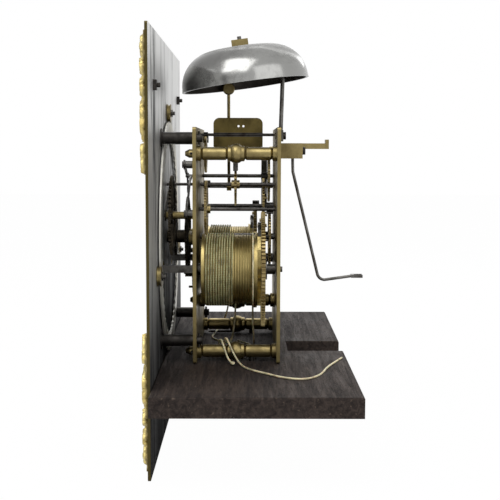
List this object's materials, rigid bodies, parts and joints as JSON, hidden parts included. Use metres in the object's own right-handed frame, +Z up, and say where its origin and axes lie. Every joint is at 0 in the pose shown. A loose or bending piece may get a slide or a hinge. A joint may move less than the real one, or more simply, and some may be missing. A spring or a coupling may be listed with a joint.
{
  "type": "longcase clock movement with dial",
  "caption": "Eight-day longcase clock movement with square dial, two trains, anchor escapement, rack striking, bell and calendar ring, bolted to its wooden seatboard.",
  "frame": {"origin": "on the seatboard's underside, below the centre arbor, at the front plate's front face", "axes": "+X to the right seen from the dial, +Y back from the dial, +Z up"},
  "size_m": [0.341, 0.1705, 0.312],
  "materials": {
    "oak": "very dark weathered oak with knots and old holes",
    "steel": "dull grey steel",
    "blued_steel": "dark blued steel",
    "dark_steel": "dark steel with wear",
    "plate_brass": "aged olive brass",
    "wheel_brass": "clean brass",
    "gilt_brass": "gilt cast brass",
    "dial_metal": "brass sheet tinned grey at the back, streaky",
    "silvered_brass": "silvered brass with black filled figures",
    "bell_metal": "polished grey bell metal with dark patches",
    "gut": "pale gut line"
  },
  "bodies": {
    "frame": {"seatboard": "oak", "seatboard_bolts": "dark_steel", "front_plate": "plate_brass", "back_plate": "plate_brass", "pillars": "plate_brass", "pins_and_screws": "dark_steel", "dial_plate": "dial_metal", "dial_rings": "silvered_brass", "spandrels": "gilt_brass", "spandrel_screws": "dark_steel", "dial_feet": "dark_steel", "studs": "steel", "springs": "steel", "back_cock": "plate_brass", "bell_stand": "steel", "bell": "bell_metal", "bell_nut": "wheel_brass", "hour_bridge": "plate_brass", "going_line": "gut", "going_line_tail": "gut", "strike_line": "gut"},
    "going_great": {"going_great_wheel": "wheel_brass"},
    "going_click": {"going_click": "steel"},
    "going_barrel": {"going_barrel": "plate_brass", "going_barrel_arbor": "steel", "going_line_winding": "gut"},
    "strike_great": {"strike_great_wheel": "wheel_brass"},
    "strike_click": {"strike_click": "steel"},
    "strike_barrel": {"strike_barrel": "plate_brass", "strike_barrel_arbor": "steel", "strike_line_winding": "gut"},
    "centre": {"centre_arbor": "steel", "centre_wheel": "wheel_brass"},
    "third": {"third_wheel": "wheel_brass"},
    "escape": {"escape_wheel": "wheel_brass", "seconds_hand": "blued_steel"},
    "pallets": {"anchor": "steel", "crutch": "steel"},
    "cannon": {"cannon_wheel": "wheel_brass", "minute_hand": "blued_steel"},
    "reverse": {"reverse_wheel": "wheel_brass"},
    "hour": {"hour_wheel": "wheel_brass", "hour_pipe": "wheel_brass", "hour_hand": "blued_steel"},
    "date": {"date_wheel": "wheel_brass"},
    "calendar": {"calendar_ring": "silvered_brass"},
    "roller_top": {"calendar_roller_top": "wheel_brass"},
    "roller_right": {"calendar_roller_right": "wheel_brass"},
    "roller_left": {"calendar_roller_left": "wheel_brass"},
    "pin": {"pin_wheel": "wheel_brass"},
    "gathering": {"gathering_arbor": "steel", "gathering_wheel": "wheel_brass"},
    "warning": {"warning_arbor": "steel", "warning_wheel": "wheel_brass"},
    "fly": {"fly": "plate_brass"},
    "hammer": {"hammer_arbor": "steel", "hammer": "plate_brass"},
    "rack": {"rack": "steel"},
    "rack_hook": {"rack_hook": "steel"},
    "lifting_piece": {"lifting_piece": "steel"}
  },
  "joints": [
    {"name": "going_great_turn", "type": "hinge", "parent": "frame", "child": "going_great", "pos_m": [0.0416, 0.0524, 0.0823], "axis": [0, 1, 0], "continuous": true},
    {"name": "going_click_turn", "type": "hinge", "parent": "going_great", "child": "going_click", "pos_m": [0.0416, 0.05, 0.1158], "axis": [0, 1, 0], "range_deg": [-16, 0]},
    {"name": "going_barrel_turn", "type": "hinge", "parent": "going_great", "child": "going_barrel", "pos_m": [0.0416, 0.03, 0.0823], "axis": [0, 1, 0], "continuous": true},
    {"name": "strike_great_turn", "type": "hinge", "parent": "frame", "child": "strike_great", "pos_m": [-0.0416, 0.047, 0.0823], "axis": [0, 1, 0], "continuous": true},
    {"name": "strike_click_turn", "type": "hinge", "parent": "strike_great", "child": "strike_click", "pos_m": [-0.0416, 0.044, 0.1158], "axis": [0, 1, 0], "range_deg": [-16, 0]},
    {"name": "strike_barrel_turn", "type": "hinge", "parent": "strike_great", "child": "strike_barrel", "pos_m": [-0.0416, 0.03, 0.0823], "axis": [0, 1, 0], "continuous": true},
    {"name": "centre_turn", "type": "hinge", "parent": "frame", "child": "centre", "pos_m": [0, 0.058, 0.104], "axis": [0, 1, 0], "continuous": true},
    {"name": "third_turn", "type": "hinge", "parent": "frame", "child": "third", "pos_m": [0.01598, 0.008, 0.12699], "axis": [0, 1, 0], "continuous": true},
    {"name": "escape_turn", "type": "hinge", "parent": "frame", "child": "escape", "pos_m": [0, 0.031, 0.14601], "axis": [0, 1, 0], "continuous": true},
    {"name": "pallets_turn", "type": "hinge", "parent": "frame", "child": "pallets", "pos_m": [0, 0.031, 0.17302], "axis": [0, 1, 0], "range_deg": [-3, 3]},
    {"name": "cannon_turn", "type": "hinge", "parent": "frame", "child": "cannon", "pos_m": [0, -0.0015, 0.104], "axis": [0, 1, 0], "continuous": true},
    {"name": "reverse_turn", "type": "hinge", "parent": "frame", "child": "reverse", "pos_m": [0.01998, -0.0015, 0.07649], "axis": [0, 1, 0], "continuous": true},
    {"name": "hour_turn", "type": "hinge", "parent": "frame", "child": "hour", "pos_m": [0, -0.0076, 0.104], "axis": [0, 1, 0], "continuous": true},
    {"name": "date_turn", "type": "hinge", "parent": "frame", "child": "date", "pos_m": [0.03998, -0.0175, 0.12359], "axis": [0, 1, 0], "continuous": true},
    {"name": "calendar_turn", "type": "hinge", "parent": "frame", "child": "calendar", "pos_m": [0, -0.0223, 0.104], "axis": [0, 1, 0], "continuous": true},
    {"name": "roller_top_turn", "type": "hinge", "parent": "frame", "child": "roller_top", "pos_m": [0, -0.0223, 0.20256], "axis": [0, 1, 0], "continuous": true},
    {"name": "roller_right_turn", "type": "hinge", "parent": "frame", "child": "roller_right", "pos_m": [0.09641, -0.0223, 0.08351], "axis": [0, 1, 0], "continuous": true},
    {"name": "roller_left_turn", "type": "hinge", "parent": "frame", "child": "roller_left", "pos_m": [-0.09641, -0.0223, 0.08351], "axis": [0, 1, 0], "continuous": true},
    {"name": "pin_turn", "type": "hinge", "parent": "frame", "child": "pin", "pos_m": [-0.03102, 0.0535, 0.12707], "axis": [0, 1, 0], "continuous": true},
    {"name": "gathering_turn", "type": "hinge", "parent": "frame", "child": "gathering", "pos_m": [-0.03552, 0.03, 0.15186], "axis": [0, 1, 0], "continuous": true},
    {"name": "warning_turn", "type": "hinge", "parent": "frame", "child": "warning", "pos_m": [-0.02018, 0.006, 0.16982], "axis": [0, 1, 0], "continuous": true},
    {"name": "fly_turn", "type": "hinge", "parent": "frame", "child": "fly", "pos_m": [-0.021, 0.03, 0.186], "axis": [0, 1, 0], "continuous": true},
    {"name": "hammer_turn", "type": "hinge", "parent": "frame", "child": "hammer", "pos_m": [-0.0625, 0.03, 0.142], "axis": [0, 1, 0], "range_deg": [-0.3, 6]},
    {"name": "rack_turn", "type": "hinge", "parent": "frame", "child": "rack", "pos_m": [-0.055, -0.0093, 0.102], "axis": [0, 1, 0], "range_deg": [-10, 0]},
    {"name": "rack_hook_turn", "type": "hinge", "parent": "frame", "child": "rack_hook", "pos_m": [0.014, -0.0093, 0.16202], "axis": [0, 1, 0], "range_deg": [0, 7.2]},
    {"name": "lifting_piece_turn", "type": "hinge", "parent": "frame", "child": "lifting_piece", "pos_m": [0.058, -0.0053, 0.126], "axis": [0, 1, 0], "range_deg": [0, 2.4]}
  ],
  "couplings": [
    {"joint": "centre_turn", "follows": "third_turn", "ratio": -0.13333},
    {"joint": "going_great_turn", "follows": "third_turn", "ratio": 0.011111},
    {"joint": "escape_turn", "follows": "third_turn", "ratio": -8},
    {"joint": "cannon_turn", "follows": "third_turn", "ratio": -0.13333},
    {"joint": "reverse_turn", "follows": "third_turn", "ratio": 0.13333},
    {"joint": "hour_turn", "follows": "third_turn", "ratio": -0.011111},
    {"joint": "date_turn", "follows": "third_turn", "ratio": 0.0055556},
    {"joint": "pin_turn", "follows": "gathering_turn", "ratio": -0.125},
    {"joint": "strike_great_turn", "follows": "gathering_turn", "ratio": 0.011905},
    {"joint": "warning_turn", "follows": "gathering_turn", "ratio": -8},
    {"joint": "fly_turn", "follows": "gathering_turn", "ratio": 64},
    {"joint": "roller_top_turn", "follows": "calendar_turn", "ratio": -14.154},
    {"joint": "roller_right_turn", "follows": "calendar_turn", "ratio": -14.154},
    {"joint": "roller_left_turn", "follows": "calendar_turn", "ratio": -14.154},
    {"joint": "rack_hook_turn", "follows": "lifting_piece_turn", "ratio": 3}
  ]
}
